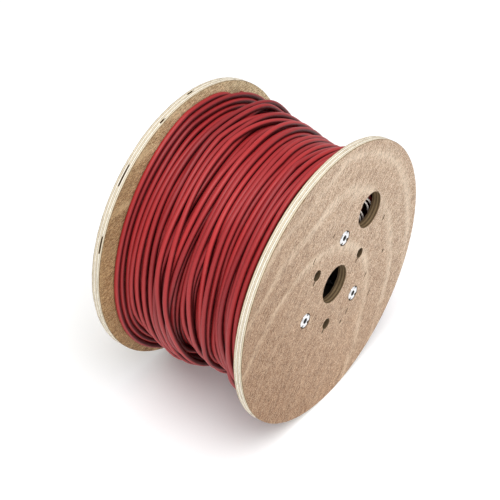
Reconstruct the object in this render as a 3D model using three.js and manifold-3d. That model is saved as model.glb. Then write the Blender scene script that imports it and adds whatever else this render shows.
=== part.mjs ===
// Plywood cable drum wound with red cable, standing on its two flange rims. Millimetres, +Z up.
// The drum's axis lies along Y. The flange with the start hole and the T-nuts faces -Y.
// The origin is under the middle of the whole object, on the surface that the rims stand on.
//
// Inside the drum group the axis is the group's Z, which points out of the start-hole flange,
// so X is to the right, Y is up and angles count anticlockwise as seen from that side.

import * as THREE from 'three';
import { mergeVertices } from 'three/addons/utils/BufferGeometryUtils.js';
import Module from 'manifold-3d';

// ---- driving dimensions -------------------------------------------------------------------

const flangeRadius = 190; // to the flats of the many-sided rim
const flangeThickness = 12;
const innerWidth = 205; // between the flanges
const boreRadius = 25.5;
const startHole = { radius: 24.25, circle: 101.7, angle: 44.3 };
const driveHoles = { radius: 7, circle: 56.8, firstAngle: 13.8 };
const tieBolts = { radius: 3, circle: 64.2, firstAngle: 73.7, headAcrossFlats: 10, headHeight: 4 };
const boltCount = 3;
const tNut = { flangeRadius: 9.5, flangeThickness: 1.3, barrelRadius: 3.8, length: 9, prongLength: 5 };
const washer = { radius: 12, thickness: 1.6 };
const barrel = { outerRadius: 76, wall: 5.5, grooveDepth: 5 };
const cableDiameter = 7.2;
const staple = { wire: 2, legDepth: 7, angle: 40 };
const outerEnd = { circle: 166, fromAngle: 24, toAngle: 58 };
const coreDiameter = 2.4;
const windingRadius = 163;
const gap = 0.3; // clearance between pieces that touch

const rimSides = 96; // a multiple of 4, so that one flat faces straight down
const holeSides = 40;
const smallSides = 20;

// ---- derived places along the axis --------------------------------------------------------

const innerFace = innerWidth / 2;
const outerFace = innerFace + flangeThickness;
const headProud = 2 * gap + washer.thickness + tieBolts.headHeight; // beyond the far flange
const tNutSink = 0.1; // the T-nuts sit this far below the wood's face
const boltTip = outerFace - 4; // the bolts end inside the T-nuts

// ---- materials ----------------------------------------------------------------------------

const material = (color, roughness, metalness) =>
  new THREE.MeshStandardMaterial({ color, roughness, metalness });

const plywood = () => material(0xc9a98c, 0.65, 0);
const kraftTube = () => material(0xa98560, 0.85, 0);
const zinc = () => material(0xc9ccd0, 0.3, 1);
const redSheath = () => material(0xb5252c, 0.45, 0);
const greyCore = () => material(0xc9c2bb, 0.5, 0);

// ---- helpers ------------------------------------------------------------------------------

const wasm = await Module();
wasm.setup();

const radians = (degrees) => THREE.MathUtils.degToRad(degrees);
const onCircle = (radius, degrees) => [
  radius * Math.cos(radians(degrees)),
  radius * Math.sin(radians(degrees)),
];
const thirds = (firstAngle) => {
  return Array.from({ length: boltCount }, (_, i) => firstAngle + (i * 360) / boltCount);
};

function toSolid(geometry) {
  const bare = geometry.index ? geometry.toNonIndexed() : geometry.clone();
  bare.deleteAttribute('normal');
  bare.deleteAttribute('uv');
  const merged = mergeVertices(bare, 1e-4);
  return new wasm.Manifold(
    new wasm.Mesh({
      numProp: 3,
      vertProperties: new Float32Array(merged.attributes.position.array),
      triVerts: new Uint32Array(merged.index.array),
    }),
  );
}

function toGeometry(solid) {
  const mesh = solid.getMesh();
  const geometry = new THREE.BufferGeometry();
  geometry.setAttribute('position', new THREE.BufferAttribute(new Float32Array(mesh.vertProperties), 3));
  geometry.setIndex(new THREE.BufferAttribute(new Uint32Array(mesh.triVerts), 1));
  geometry.computeVertexNormals();
  return geometry;
}

// A straight prism on a regular polygon with flats at the top, bottom, left and right.
function prism(radiusToFlats, sides, from, to, [x, y] = [0, 0]) {
  const corner = radiusToFlats / Math.cos(Math.PI / sides);
  const points = Array.from({ length: sides }, (_, i) => {
    const angle = ((i + 0.5) * 2 * Math.PI) / sides;
    return new THREE.Vector2(x + corner * Math.cos(angle), y + corner * Math.sin(angle));
  });
  const geometry = new THREE.ExtrudeGeometry(new THREE.Shape(points), {
    depth: to - from,
    bevelEnabled: false,
  });
  return geometry.translate(0, 0, from);
}

// A closed profile of [radius, z] points turned about the axis.
function turned(profile, sides) {
  const points = [...profile, profile[0]].map(([radius, z]) => new THREE.Vector2(radius, z));
  return new THREE.LatheGeometry(points, sides).rotateX(Math.PI / 2);
}

const ringProfile = (inner, outer, from, to) => [
  [inner, from],
  [outer, from],
  [outer, to],
  [inner, to],
];

// A round bar along a smooth curve through the points.
function bar(points, diameter, sides, steps) {
  const outline = Array.from({ length: sides }, (_, i) => {
    const angle = (i * 2 * Math.PI) / sides;
    return new THREE.Vector2((diameter / 2) * Math.cos(angle), (diameter / 2) * Math.sin(angle));
  });
  const extrudePath = new THREE.CatmullRomCurve3(points.map((point) => new THREE.Vector3(...point)));
  return new THREE.ExtrudeGeometry(new THREE.Shape(outline), { steps, bevelEnabled: false, extrudePath });
}

// The part of a ring between two angles, cut away from it as one block.
function sector(inner, outer, fromAngle, toAngle, from, to) {
  const shape = new THREE.Shape();
  shape.absarc(0, 0, outer, radians(fromAngle), radians(toAngle), false);
  shape.absarc(0, 0, inner, radians(toAngle), radians(fromAngle), true);
  return new THREE.ExtrudeGeometry(shape, {
    depth: to - from,
    bevelEnabled: false,
    curveSegments: smallSides,
  }).translate(0, 0, from);
}

// A block that lies along a radius at one angle.
function radialBlock(fromRadius, toRadius, width, from, to, angle) {
  const block = new THREE.BoxGeometry(toRadius - fromRadius, width, to - from);
  block.translate((fromRadius + toRadius) / 2, 0, (from + to) / 2);
  return block.rotateZ(radians(angle));
}

const drum = new THREE.Group();

function addPiece(name, geometry, pieceMaterial) {
  const mesh = new THREE.Mesh(geometry, pieceMaterial);
  mesh.name = name;
  drum.add(mesh);
  return mesh;
}

// ---- T-nuts -------------------------------------------------------------------------------
// Each is a stamped disc with a threaded barrel and four prongs bent down into the wood.
// A prong is a tab folded at its inner end, so it leaves a notch in the disc's edge.

const prong = { width: 3.2, thickness: 1, foldRadius: 6.9, angles: [45, 135, 225, 315] };
const tNutTop = outerFace - tNutSink;
const tNutUnderside = tNutTop - tNut.flangeThickness;

function prongBlocks(clearance) {
  return prong.angles.map((angle) =>
    radialBlock(
      prong.foldRadius - prong.thickness - clearance,
      prong.foldRadius + clearance,
      prong.width + 2 * clearance,
      tNutUnderside - tNut.prongLength - clearance,
      tNutUnderside + 0.5 * tNut.flangeThickness,
      angle,
    ),
  );
}

function tNutGeometry() {
  let solid = toSolid(prism(tNut.flangeRadius, smallSides, tNutUnderside, tNutTop));
  for (const angle of prong.angles) {
    const notch = radialBlock(
      prong.foldRadius,
      tNut.flangeRadius + 1,
      prong.width,
      tNutUnderside - 1,
      tNutTop + 1,
      angle,
    );
    solid = solid.subtract(toSolid(notch));
  }
  for (const block of prongBlocks(0)) {
    solid = solid.add(toSolid(block));
  }
  const threadedBarrel = prism(tNut.barrelRadius, smallSides, tNutTop - tNut.length, tNutUnderside + 0.5);
  const threadBore = prism(tieBolts.radius + gap, smallSides, tNutTop - tNut.length - 1, tNutTop + 1);
  return toGeometry(solid.add(toSolid(threadedBarrel)).subtract(toSolid(threadBore)));
}

// What a T-nut takes out of the flange that it is hammered into.
function tNutPocket() {
  const discPocket = prism(tNut.flangeRadius + gap, smallSides, tNutUnderside - gap, outerFace + 1);
  const barrelHole = prism(tNut.barrelRadius + gap, smallSides, innerFace - 1, outerFace + 1);
  return prongBlocks(gap)
    .map(toSolid)
    .reduce((pocket, block) => pocket.add(block), toSolid(discPocket).add(toSolid(barrelHole)));
}

// ---- staple over the cable's outer end ------------------------------------------------------

const outerEndDepth = -innerFace + cableDiameter / 2 + 1;
const stapleReach = cableDiameter / 2 + gap + staple.wire; // from the cable's centre to its outside
const stapleTip = -innerFace - staple.legDepth;

function stapleLegs(clearance) {
  return [-stapleReach, stapleReach - staple.wire].map((offset) =>
    radialBlock(
      outerEnd.circle + offset - clearance,
      outerEnd.circle + offset + staple.wire + clearance,
      staple.wire + 2 * clearance,
      stapleTip - clearance,
      outerEndDepth + stapleReach - staple.wire / 2,
      staple.angle,
    ),
  );
}

function stapleGeometry() {
  const crown = radialBlock(
    outerEnd.circle - stapleReach,
    outerEnd.circle + stapleReach,
    staple.wire,
    outerEndDepth + stapleReach - staple.wire,
    outerEndDepth + stapleReach,
    staple.angle,
  );
  return toGeometry(stapleLegs(0).map(toSolid).reduce((solid, leg) => solid.add(leg), toSolid(crown)));
}

// ---- flanges ------------------------------------------------------------------------------

// A plywood disc from z = from to z = to, with its spindle bore, drive holes and tube groove.
function flangeSolid(from, to, grooveFrom, grooveTo) {
  let solid = toSolid(prism(flangeRadius, rimSides, from, to));
  solid = solid.subtract(toSolid(prism(boreRadius, holeSides, from - 1, to + 1)));
  for (const angle of thirds(driveHoles.firstAngle)) {
    const place = onCircle(driveHoles.circle, angle);
    solid = solid.subtract(toSolid(prism(driveHoles.radius, smallSides, from - 1, to + 1, place)));
  }
  const groove = ringProfile(
    barrel.outerRadius - barrel.wall - gap,
    barrel.outerRadius + gap,
    grooveFrom,
    grooveTo,
  );
  return solid.subtract(toSolid(turned(groove, rimSides)));
}

function nearFlange() {
  let solid = flangeSolid(innerFace, outerFace, innerFace - 1, innerFace + barrel.grooveDepth);
  const startPlace = onCircle(startHole.circle, startHole.angle);
  const startCut = prism(startHole.radius, holeSides, innerFace - 1, outerFace + 1, startPlace);
  solid = solid.subtract(toSolid(startCut));
  const pocket = tNutPocket();
  for (const angle of thirds(tieBolts.firstAngle)) {
    const place = onCircle(tieBolts.circle, angle);
    solid = solid.subtract(pocket.translate([...place, 0]));
  }
  return toGeometry(solid);
}

function farFlange() {
  let solid = flangeSolid(-outerFace, -innerFace, -innerFace - barrel.grooveDepth, -innerFace + 1);
  for (const angle of thirds(tieBolts.firstAngle)) {
    const place = onCircle(tieBolts.circle, angle);
    const boltHole = prism(tieBolts.radius + gap, smallSides, -outerFace - 1, -innerFace + 1, place);
    solid = solid.subtract(toSolid(boltHole));
  }
  for (const leg of stapleLegs(gap)) {
    solid = solid.subtract(toSolid(leg));
  }
  return toGeometry(solid);
}

addPiece('flange_near', nearFlange(), plywood());
addPiece('flange_far', farFlange(), plywood());

// ---- barrel tube, its ends seated in the flanges' grooves ----------------------------------

const barrelEnd = innerFace + barrel.grooveDepth - gap;
const barrelInner = barrel.outerRadius - barrel.wall;
const barrelProfile = ringProfile(barrelInner, barrel.outerRadius, -barrelEnd, barrelEnd);
addPiece('barrel_tube', turned(barrelProfile, rimSides), kraftTube());

// ---- tie bolts, washers and T-nuts ---------------------------------------------------------

const washerTop = -outerFace - gap;
const washerBottom = washerTop - washer.thickness;
const headTop = washerBottom - gap;

function boltGeometry() {
  const shank = prism(tieBolts.radius, smallSides, headTop - 1, boltTip);
  const head = prism(tieBolts.headAcrossFlats / 2, 6, headTop - tieBolts.headHeight, headTop);
  return toGeometry(toSolid(shank).add(toSolid(head)));
}

thirds(tieBolts.firstAngle).forEach((angle, i) => {
  const place = onCircle(tieBolts.circle, angle);
  const washerShape = ringProfile(tieBolts.radius + gap, washer.radius, washerBottom, washerTop);
  addPiece(`tie_bolt_${i + 1}`, boltGeometry(), zinc()).position.set(...place, 0);
  addPiece(`washer_${i + 1}`, turned(washerShape, holeSides), zinc()).position.set(...place, 0);
  addPiece(`t_nut_${i + 1}`, tNutGeometry(), zinc()).position.set(...place, 0);
});

// ---- cable winding -------------------------------------------------------------------------
// The outer shape of all the turns: crowned in the middle, lower beside the flanges. The turns
// beside the near flange are a ring of their own. Behind the start hole they stand back from the
// barrel, and the cable's inner end lies in that space.

const windingEnd = innerFace - gap;
const windingBore = barrel.outerRadius + gap;
const startPocket = { outerRadius: 130, fromAngle: 8, toAngle: 80, depth: 16 };
const pocketFloor = innerFace - startPocket.depth;
const windingProfile = [
  [windingBore, -windingEnd],
  [windingRadius - 10, -windingEnd],
  [windingRadius, -windingEnd + 30],
  [windingRadius + 2, 0],
  [windingRadius, pocketFloor - gap],
  [windingBore, pocketFloor - gap],
];
const nearTurnsProfile = [
  [windingBore, pocketFloor],
  [windingRadius, pocketFloor],
  [windingRadius - 4, windingEnd],
  [windingBore, windingEnd],
];
const nearTurns = toSolid(turned(nearTurnsProfile, rimSides)).subtract(
  toSolid(
    sector(
      windingBore - 1,
      startPocket.outerRadius,
      startPocket.fromAngle,
      startPocket.toAngle,
      pocketFloor - 1,
      innerFace + 1,
    ),
  ),
);
addPiece('cable_winding', turned(windingProfile, rimSides), redSheath());
addPiece('cable_winding_near', toGeometry(nearTurns), redSheath());

// ---- cable's inner end behind the start hole ------------------------------------------------
// The sheathed end comes out of the winding beside the flange. Past its stripped end the four
// cores spread in two pairs across the back of the start hole.

const endDepth = innerFace - cableDiameter / 2 - 1;
const coreDepth = innerFace - coreDiameter / 2 - 1.5;
const sheathRoute = [
  { radius: 94, angle: 75 },
  { radius: 98, angle: 70 },
  { radius: 101, angle: 65 },
  { radius: 103, angle: 60 },
];
const stripped = { radius: 103, angle: 58.6 };
const coreSpread = [
  { start: -1.4, middle: -12, end: -15 },
  { start: -1.4, middle: -7, end: -8 },
  { start: 1.4, middle: 6, end: 4 },
  { start: 1.4, middle: 11, end: 13 },
];
const coreAngles = { parting: 50, middle: 38, end: 22 };

const routePoint = (radius, angle, depth) => [...onCircle(radius, angle), depth];

addPiece(
  'cable_inner_end',
  bar(
    sheathRoute.map(({ radius, angle }) => routePoint(radius, angle, endDepth)),
    cableDiameter,
    12,
    6,
  ),
  redSheath(),
);

coreSpread.forEach(({ start, middle, end }, i) => {
  const lift = i % 2 === 0 ? -1.4 : 1.4; // the cores leave the sheath as two pairs, one above the other
  const route = [
    routePoint(stripped.radius + start, stripped.angle, endDepth + lift),
    routePoint(stripped.radius + (start + middle) / 2, coreAngles.parting, endDepth + 0.7 * lift),
    routePoint(stripped.radius + middle, coreAngles.middle, coreDepth),
    routePoint(stripped.radius + end, coreAngles.end, coreDepth - 3),
  ];
  addPiece(`inner_end_core_${i + 1}`, bar(route, coreDiameter, 8, 12), greyCore());
});

// ---- cable's outer end, stapled to the far flange -------------------------------------------

const outerEndPoints = 6;
const outerRoute = Array.from({ length: outerEndPoints }, (_, i) => {
  const angle = THREE.MathUtils.lerp(outerEnd.fromAngle, outerEnd.toAngle, i / (outerEndPoints - 1));
  return routePoint(outerEnd.circle, angle, outerEndDepth);
});
addPiece('cable_outer_end', bar(outerRoute, cableDiameter, 12, 12), redSheath());
addPiece('outer_end_staple', stapleGeometry(), zinc());

// ---- placing -------------------------------------------------------------------------------
// The bolt heads stand proud of the far flange only, so the drum sits off the middle by half that.

drum.rotation.x = Math.PI / 2;
drum.position.set(0, -headProud / 2, flangeRadius);

const group = new THREE.Group();
group.add(drum);

export default group;
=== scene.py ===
"""A plywood cable drum wound with red cable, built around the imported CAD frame. Metres, +Z up."""

import math

import bpy
import numpy as np
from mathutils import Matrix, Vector
from mathutils.geometry import delaunay_2d_cdt


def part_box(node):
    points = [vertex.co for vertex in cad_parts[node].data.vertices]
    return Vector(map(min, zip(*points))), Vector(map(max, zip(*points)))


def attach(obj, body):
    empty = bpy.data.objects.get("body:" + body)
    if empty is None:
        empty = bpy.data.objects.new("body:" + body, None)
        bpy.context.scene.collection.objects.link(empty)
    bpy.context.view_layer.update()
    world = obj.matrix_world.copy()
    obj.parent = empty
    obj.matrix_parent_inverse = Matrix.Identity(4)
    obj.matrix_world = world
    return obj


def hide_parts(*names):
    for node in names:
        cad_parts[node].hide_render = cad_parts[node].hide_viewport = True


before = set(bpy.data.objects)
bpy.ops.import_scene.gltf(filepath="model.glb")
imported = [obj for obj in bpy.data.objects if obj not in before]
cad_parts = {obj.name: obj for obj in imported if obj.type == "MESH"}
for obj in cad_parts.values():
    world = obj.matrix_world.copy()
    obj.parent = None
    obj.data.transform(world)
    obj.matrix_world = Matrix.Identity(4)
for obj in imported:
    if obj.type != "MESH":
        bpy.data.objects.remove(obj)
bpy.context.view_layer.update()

# ---- the drum's own frame -------------------------------------------------------------------
# u is to the right, v is up and w points out of the near flange, all from the middle of the
# winding. Angles count anticlockwise from u, as seen from in front of the near flange.

near_low, near_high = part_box("flange_near")
far_low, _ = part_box("flange_far")
barrel_low, barrel_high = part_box("barrel_tube")

FLANGE_RADIUS = (near_high.z - near_low.z) / 2
AXIS_HEIGHT = (near_high.z + near_low.z) / 2
MIDDLE_Y = (near_high.y + far_low.y) / 2
HALF_WIDTH = (far_low.y - near_high.y) / 2
FLANGE_THICKNESS = near_high.y - near_low.y
BARREL_RADIUS = (barrel_high.z - barrel_low.z) / 2
OUTER_FACE = HALF_WIDTH + FLANGE_THICKNESS
DRUM_CENTRE = Vector((0, MIDDLE_Y, AXIS_HEIGHT))


def to_world(u, v, w):
    """Points in the drum's frame as an (n, 3) array in the row frame."""
    u, v, w = np.broadcast_arrays(u, v, w)
    return np.stack([u, MIDDLE_Y - w, AXIS_HEIGHT + v], -1).reshape(-1, 3)


def on_circle(radius, degrees):
    angle = math.radians(degrees)
    return radius * math.cos(angle), radius * math.sin(angle)


def round_circle(count):
    """Evenly spaced angles, in radians."""
    return np.linspace(0, 2 * np.pi, count, endpoint=False)


def centre_of(node):
    """A node's middle across the drum's axis, as (u, v)."""
    low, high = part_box(node)
    return (low.x + high.x) / 2, (low.z + high.z) / 2 - AXIS_HEIGHT


# ---- sizes of the flanges, as the CAD cuts them ------------------------------------------------

BORE_RADIUS = 0.0255
START_HOLE = (*on_circle(0.1017, 44.3), 0.02425)
DRIVE_HOLES = [(*on_circle(0.0568, 13.8 + 120 * i), 0.007) for i in range(3)]
BOLT_PLACES = [centre_of(f"t_nut_{i + 1}") for i in range(3)]
GROOVE = (BARREL_RADIUS - 0.0058, BARREL_RADIUS + 0.0003, 0.005)
T_NUT_RADIUS = 0.0095
BOARD_PITCH = 0.11
CABLE_RADIUS = 0.0036

# ---- meshes ------------------------------------------------------------------------------------


def add_object(name, data):
    thing = bpy.data.objects.new(name, data)
    bpy.context.scene.collection.objects.link(thing)
    return thing


def make_piece(name, points, faces, materials, node, face_materials=None, sharp=40):
    """A mesh that rides on the drum and stands for one or more CAD nodes."""
    mesh = bpy.data.meshes.new(name)
    mesh.from_pydata(np.asarray(points).tolist(), [], [list(face) for face in faces])
    for material in materials:
        mesh.materials.append(material)
    if face_materials is not None:
        mesh.polygons.foreach_set("material_index", np.asarray(face_materials, np.int32))
    mesh.shade_smooth()
    mesh.set_sharp_from_angle(angle=math.radians(sharp))
    piece = add_object(name, mesh)
    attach(piece, "root")
    for replaced in [node] if isinstance(node, str) else node:
        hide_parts(replaced)
    return piece


def ring_faces(rows, columns, first=0, closed=False):
    """Quads between rows of points that run round a ring."""
    row = np.arange(rows if closed else rows - 1)[:, None]
    column = np.arange(columns)[None, :]
    after = (row + 1) % rows
    beside = (column + 1) % columns
    quads = [
        row * columns + column,
        row * columns + beside,
        after * columns + beside,
        after * columns + column,
    ]
    return first + np.stack(np.broadcast_arrays(*quads), -1).reshape(-1, 4)


def turned(radii, heights, place):
    """Points of a surface turned about a line parallel to the axis: one row for each height, and
    in each row one radius for each column."""
    angle = round_circle(radii.shape[1])
    u = place[0] + radii * np.cos(angle)
    v = place[1] + radii * np.sin(angle)
    return to_world(u, v, np.asarray(heights, float)[:, None])


def profile(rows, columns):
    """(radius, height) pairs as two arrays. A radius is a number, or one for each column."""
    radii = np.stack([np.broadcast_to(radius, columns) for radius, _ in rows])
    return radii, np.array([height for _, height in rows])


def smooth_noise(rng, shape, reach, wrap=True):
    """Gaussian noise along the last axis, smoothed over a number of steps and scaled to sd 1."""
    noise = rng.normal(size=shape)
    length = shape[-1]
    distance = np.arange(length)
    distance = np.minimum(distance, length - distance) if wrap else distance
    kernel = np.fft.rfft(np.exp(-0.5 * (distance / reach) ** 2))
    noise = np.fft.irfft(np.fft.rfft(noise, axis=-1) * kernel, n=length, axis=-1)
    return noise / (noise.std() + 1e-12)


# ---- materials ---------------------------------------------------------------------------------


class Shader:
    """A Principled material whose inputs are built from short chains of nodes."""

    def __init__(self, name):
        self.material = bpy.data.materials.new(name)
        self.material.use_nodes = True
        self.nodes = self.material.node_tree.nodes
        self.links = self.material.node_tree.links
        self.principled = self.nodes["Principled BSDF"]

    def set(self, node, name, value):
        socket = node.inputs[name]
        if isinstance(value, bpy.types.NodeSocket):
            self.links.new(value, socket)
        elif isinstance(value, tuple) and len(value) == 3 and socket.type == "RGBA":
            socket.default_value = (*value, 1)
        else:
            socket.default_value = value

    def add(self, kind, inputs, output=0, **settings):
        node = self.nodes.new("ShaderNode" + kind)
        for key, value in settings.items():
            setattr(node, key, value)
        for name, value in inputs.items():
            self.set(node, name, value)
        return node.outputs[output]

    def math(self, operation, a, b=0.0, c=0.0):
        return self.add("Math", {0: a, 1: b, 2: c}, operation=operation)

    def times(self, a, b):
        return self.math("MULTIPLY", a, b)

    def times_add(self, a, b, c):
        return self.math("MULTIPLY_ADD", a, b, c)

    def vector(self, x, y, z):
        return self.add("CombineXYZ", {"X": x, "Y": y, "Z": z})

    def position(self):
        """The point in the drum's frame, in metres, as three sockets."""
        here = self.add("TexCoord", {}, output="Object")
        split = self.nodes.new("ShaderNodeSeparateXYZ")
        self.links.new(here, split.inputs[0])
        u, y, z = split.outputs
        return u, self.math("SUBTRACT", z, AXIS_HEIGHT), self.math("SUBTRACT", MIDDLE_Y, y)

    def noise(self, vector, scale=1.0, detail=2.0, roughness=0.5):
        inputs = {"Vector": vector, "Scale": scale, "Detail": detail, "Roughness": roughness}
        return self.add("TexNoise", inputs)

    def ramp(self, value, stops):
        """A grey value between stops of (place, value)."""
        node = self.nodes.new("ShaderNodeValToRGB")
        self.links.new(value, node.inputs[0])
        elements = node.color_ramp.elements
        for i, (place, grey) in enumerate(stops):
            element = elements[i] if i < 2 else elements.new(place)
            element.position = place
            element.color = (grey, grey, grey, 1)
        return node.outputs[0]

    def mix(self, factor, a, b, blend="MIX"):
        node = self.nodes.new("ShaderNodeMix")
        node.data_type = "RGBA"
        node.blend_type = blend
        for socket, value in zip((node.inputs[0], node.inputs[6], node.inputs[7]), (factor, a, b)):
            if isinstance(value, bpy.types.NodeSocket):
                self.links.new(value, socket)
            else:
                socket.default_value = (*value, 1) if isinstance(value, tuple) else value
        return node.outputs[2]

    def bump(self, height, strength, distance):
        inputs = {"Height": height, "Strength": strength, "Distance": distance}
        self.set(self.principled, "Normal", self.add("Bump", inputs))

    def finish(self, **values):
        for key, value in values.items():
            self.set(self.principled, key.replace("_", " "), value)
        return self.material


def along_grain(shader, degrees):
    """The point measured along and across a grain direction, in flange radii."""
    u, v, w = shader.position()
    angle = math.radians(degrees)
    across = shader.times(u, -math.sin(angle) / FLANGE_RADIUS)
    across = shader.times_add(v, math.cos(angle) / FLANGE_RADIUS, across)
    along = shader.times(u, math.cos(angle) / FLANGE_RADIUS)
    along = shader.times_add(v, math.sin(angle) / FLANGE_RADIUS, along)
    return along, across, shader.times(w, 1 / FLANGE_RADIUS)


def grain_noise(shader, grain, along_scale, across_scale, depth_scale, detail):
    """Noise that is drawn out along the grain."""
    scales = (along_scale, across_scale, depth_scale)
    place = [shader.times(part, scale) for part, scale in zip(grain, scales)]
    return shader.noise(shader.vector(*place), detail=detail)


def veneer_material(name, degrees, shift, widening, tint):
    """Rotary-cut face veneer: arches that open to one side, fine fibres and dark pores. It darkens towards
    one end along the grain and towards its left, partly as the sheet's own tone and partly as painted
    shade.
    """
    s = Shader(name)
    grain = along_grain(s, degrees)
    along, across, _ = grain
    flat = s.vector(*grain)
    warp = s.math("SUBTRACT", s.noise(flat, scale=1.7, detail=2), 0.5)
    ragged = s.math("SUBTRACT", s.noise(flat, scale=22, detail=4), 0.5)
    wide = s.times_add(warp, 0.34, s.times(across, widening))
    tall = s.times_add(warp, 0.22, s.math("ADD", along, shift))
    arch = s.math("SQRT", s.times_add(wide, wide, s.times(tall, tall)))
    arch = s.times_add(ragged, 0.05, arch)
    arches = s.times(arch, 0.45)
    rings = s.noise(s.vector(s.times(arch, 26), s.times(along, 1.2), 0.0), detail=3)
    fibre = grain_noise(s, grain, 16, 190, 1, 4)
    fuzz = grain_noise(s, grain, 120, 400, 1, 2)
    streak = grain_noise(s, grain, 1.6, 38, 1, 3)
    pores = s.ramp(grain_noise(s, grain, 34, 330, 1, 2), [(0.56, 0.0), (0.64, 1.0)])
    lower = s.ramp(s.times_add(along, -0.5, 0.5), [(0.30, 0.0), (0.95, 1.0)])
    stripes = s.ramp(streak, [(0.30, 0.75), (0.58, 0.0)])
    stripes = s.times(stripes, s.times_add(lower, 1.0, 0.15))
    blotch = s.noise(flat, scale=3.1, detail=3)
    colour = s.mix(s.ramp(arches, ARCH_TONES), VENEER_DARK, VENEER_PALE)
    colour = s.mix(s.ramp(rings, [(0.38, 0.0), (0.62, 0.35)]), colour, VENEER_WARM)
    colour = s.mix(s.ramp(blotch, [(0.40, 0.0), (0.72, 0.45)]), colour, VENEER_GREY)
    colour = s.mix(s.times(lower, 0.60), colour, VENEER_WARM)
    colour = s.mix(stripes, colour, VENEER_DARK)
    patchy = s.ramp(s.noise(flat, scale=4.3, detail=2), [(0.36, 0.40), (0.54, 1.0)])
    lines = s.times(s.ramp(arches, ARCH_LINES), patchy)
    colour = s.mix(s.ramp(fibre, [(0.34, 0.90), (0.50, 0.0)]), colour, VENEER_DARK)
    colour = s.mix(s.ramp(fibre, [(0.52, 0.0), (0.72, 0.55)]), colour, VENEER_LINE)
    colour = s.mix(s.ramp(fuzz, [(0.33, 0.95), (0.49, 0.0)]), colour, VENEER_DARK)
    colour = s.mix(s.ramp(fuzz, [(0.50, 0.0), (0.63, 0.90)]), colour, VENEER_LINE)
    colour = s.mix(s.times(lines, 0.75), colour, VENEER_LINE)
    colour = s.mix(s.times(pores, 0.70), colour, VENEER_PORE)
    # partly the sheet's own tone, partly painted shade: darker towards one end along the grain, and then
    # towards the left
    colour = s.mix(s.times(lower, 0.75), colour, (0.80, 0.68, 0.56), "MULTIPLY")
    left = s.times_add(s.position()[0], -0.5 / FLANGE_RADIUS, 0.5)
    colour = s.mix(s.ramp(left, [(0.55, 0.0), (0.90, 0.60)]), colour, (0.76, 0.70, 0.64), "MULTIPLY")
    colour = s.mix(1.0, colour, tint, "MULTIPLY")
    height = s.times_add(pores, -0.7, s.times_add(fuzz, 0.8, fibre))
    s.bump(height, 0.40, 0.0005)
    rough = s.ramp(fibre, [(0.2, 0.74), (0.8, 0.58)])
    return s.finish(Base_Color=colour, Roughness=rough, Specular_IOR_Level=0.3)


VENEER_PALE = (0.660, 0.485, 0.355)
VENEER_LINE = (0.800, 0.650, 0.510)
VENEER_DARK = (0.250, 0.135, 0.075)
VENEER_WARM = (0.450, 0.265, 0.160)
VENEER_GREY = (0.500, 0.370, 0.275)
VENEER_PORE = (0.075, 0.035, 0.020)
ARCH_TONES = [(0.00, 0.62), (0.24, 0.70), (0.30, 0.82), (0.42, 0.92), (0.46, 0.66)]
ARCH_TONES += [(0.55, 0.86), (0.62, 0.80), (0.68, 0.94), (0.74, 0.82), (1.00, 0.94)]
ARCH_LINES = [
    stop
    for start, peak, end, strength in (
        (0.240, 0.268, 0.292, 0.25),
        (0.415, 0.448, 0.470, 0.95),
        (0.570, 0.600, 0.622, 0.90),
        (0.686, 0.710, 0.738, 0.85),
    )
    for stop in ((start, 0.0), (peak, strength), (end, 0.0))
]
PLY_PALE = (0.900, 0.860, 0.760)
PLY_TAN = (0.700, 0.610, 0.480)
PLY_DARK = (0.300, 0.190, 0.100)


def ply_material(name, degrees, pale, tan):
    """The cut edge of one ply: long fibres where the cut runs with the grain, dots across it."""
    s = Shader(name)
    grain = along_grain(s, degrees)
    fibre = grain_noise(s, grain, 12, 420, 420, 3)
    broad = grain_noise(s, grain, 3, 14, 1, 3)
    colour = s.mix(s.ramp(fibre, [(0.30, 1.0), (0.62, 0.0)]), pale, tan)
    colour = s.mix(s.ramp(broad, [(0.45, 0.0), (0.80, 0.45)]), colour, tan)
    colour = s.mix(s.ramp(fibre, [(0.20, 0.8), (0.34, 0.0)]), colour, PLY_DARK)
    s.bump(fibre, 0.5, 0.0004)
    return s.finish(Base_Color=colour, Roughness=0.72, Specular_IOR_Level=0.3)


def glue_material():
    s = Shader("glue_line")
    patch = s.noise(s.vector(*s.position()), scale=90, detail=2)
    colour = s.mix(patch, (0.240, 0.150, 0.080), (0.090, 0.050, 0.025))
    return s.finish(Base_Color=colour, Roughness=0.8)


def sheath_material():
    """Satin red plastic with faint die lines along it, rubbed marks and a little dust, and painted shade
    on each turn away from its outward face.
    """
    s = Shader("red_sheath")
    here = s.add("UVMap", {}, uv_map="along")
    split = s.nodes.new("ShaderNodeSeparateXYZ")
    s.links.new(here, split.inputs[0])
    along, around = split.outputs[0], split.outputs[1]
    lines = s.noise(s.vector(s.times(along, 3), s.times(around, 26), 0.0), detail=2)
    dust = s.noise(s.vector(*s.position()), scale=55, detail=5, roughness=0.65)
    tone = s.noise(s.vector(s.times(along, 2.2), 0.0, 0.0), detail=3)
    colour = s.mix(s.ramp(tone, [(0.34, 0.0), (0.66, 1.0)]), SHEATH_DEEP, SHEATH_BRIGHT)
    # painted shade: each turn is darkened all round except on its outward face, standing for the shade
    # between and under the turns
    sides = s.ramp(around, [(0.12, 0.0), (0.22, 0.92), (0.78, 0.92), (0.88, 0.0)])
    colour = s.mix(sides, colour, SHEATH_PAINTED_SHADE)
    colour = s.mix(s.ramp(dust, [(0.58, 0.0), (0.78, 0.10)]), colour, (0.55, 0.20, 0.18))
    rough = s.times_add(dust, 0.24, 0.34)
    height = s.times_add(dust, 0.35, lines)
    s.bump(height, 0.22, 0.0003)
    return s.finish(Base_Color=colour, Roughness=rough, Specular_IOR_Level=0.40)


SHEATH_DEEP = (0.250, 0.011, 0.014)
SHEATH_BRIGHT = (0.470, 0.027, 0.028)
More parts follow.
